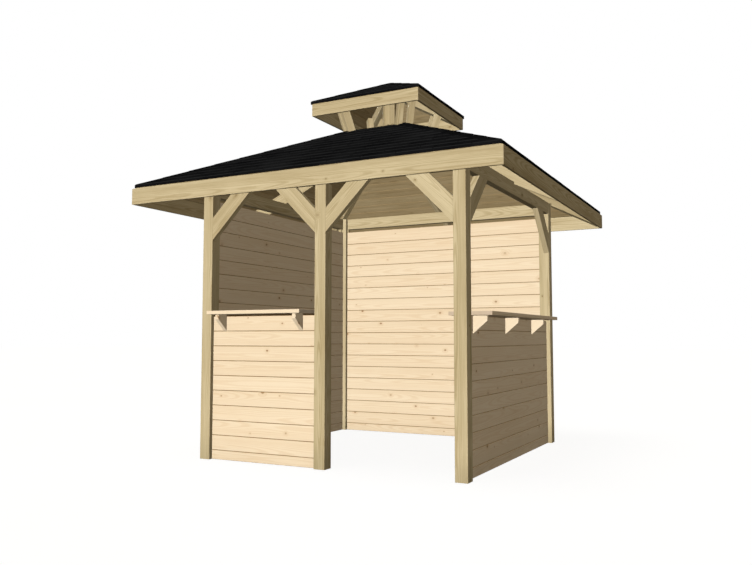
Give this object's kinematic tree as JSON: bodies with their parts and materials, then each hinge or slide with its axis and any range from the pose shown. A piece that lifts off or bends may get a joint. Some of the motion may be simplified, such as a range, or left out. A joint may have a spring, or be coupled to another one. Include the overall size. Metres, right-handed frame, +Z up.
{
  "type": "garden gazebo",
  "caption": "Square timber barbecue gazebo with boarded walls, half walls with outside shelves, an open entrance bay and a hipped roof with a raised smoke vent.",
  "frame": {"origin": "on the ground at the centre of the square plan", "axes": "+Z up, -Y towards the front with the entrance, +X to the right seen from the front"},
  "size_m": [2.89, 2.89, 3.0488],
  "materials": {
    "frame_timber": "planed, pressure treated softwood",
    "wall_boards": "planed softwood boards",
    "roof_boards": "planed softwood boards",
    "roof_felt": "matt bitumen covering"
  },
  "bodies": {
    "root": {"post_front_left": "frame_timber", "post_front_middle": "frame_timber", "post_front_right": "frame_timber", "post_back_left": "frame_timber", "post_back_right": "frame_timber", "beam_front": "frame_timber", "beam_right": "frame_timber", "beam_back": "frame_timber", "beam_left": "frame_timber", "brace_front_left": "frame_timber", "brace_middle_left": "frame_timber", "brace_middle_right": "frame_timber", "brace_front_right": "frame_timber", "brace_right_front": "frame_timber", "brace_right_back": "frame_timber", "wall_left": "wall_boards", "wall_back": "wall_boards", "half_wall_front": "wall_boards", "half_wall_right": "wall_boards", "shelf_front": "wall_boards", "shelf_right": "wall_boards", "shelf_brackets_front": "wall_boards", "shelf_brackets_right": "wall_boards", "king_post": "frame_timber", "hip_rafters": "frame_timber", "middle_rafters": "frame_timber", "fascia_front": "frame_timber", "fascia_right": "frame_timber", "fascia_back": "frame_timber", "fascia_left": "frame_timber", "roof_deck_front": "roof_boards", "roof_deck_right": "roof_boards", "roof_deck_back": "roof_boards", "roof_deck_left": "roof_boards", "roof_covering_front": "roof_felt", "roof_covering_right": "roof_felt", "roof_covering_back": "roof_felt", "roof_covering_left": "roof_felt", "lantern_legs": "frame_timber", "lantern_rafters": "frame_timber", "lantern_fascia_front": "frame_timber", "lantern_fascia_right": "frame_timber", "lantern_fascia_back": "frame_timber", "lantern_fascia_left": "frame_timber", "lantern_deck_front": "roof_boards", "lantern_deck_right": "roof_boards", "lantern_deck_back": "roof_boards", "lantern_deck_left": "roof_boards", "lantern_covering_front": "roof_felt", "lantern_covering_right": "roof_felt", "lantern_covering_back": "roof_felt", "lantern_covering_left": "roof_felt"}
  },
  "joints": []
}
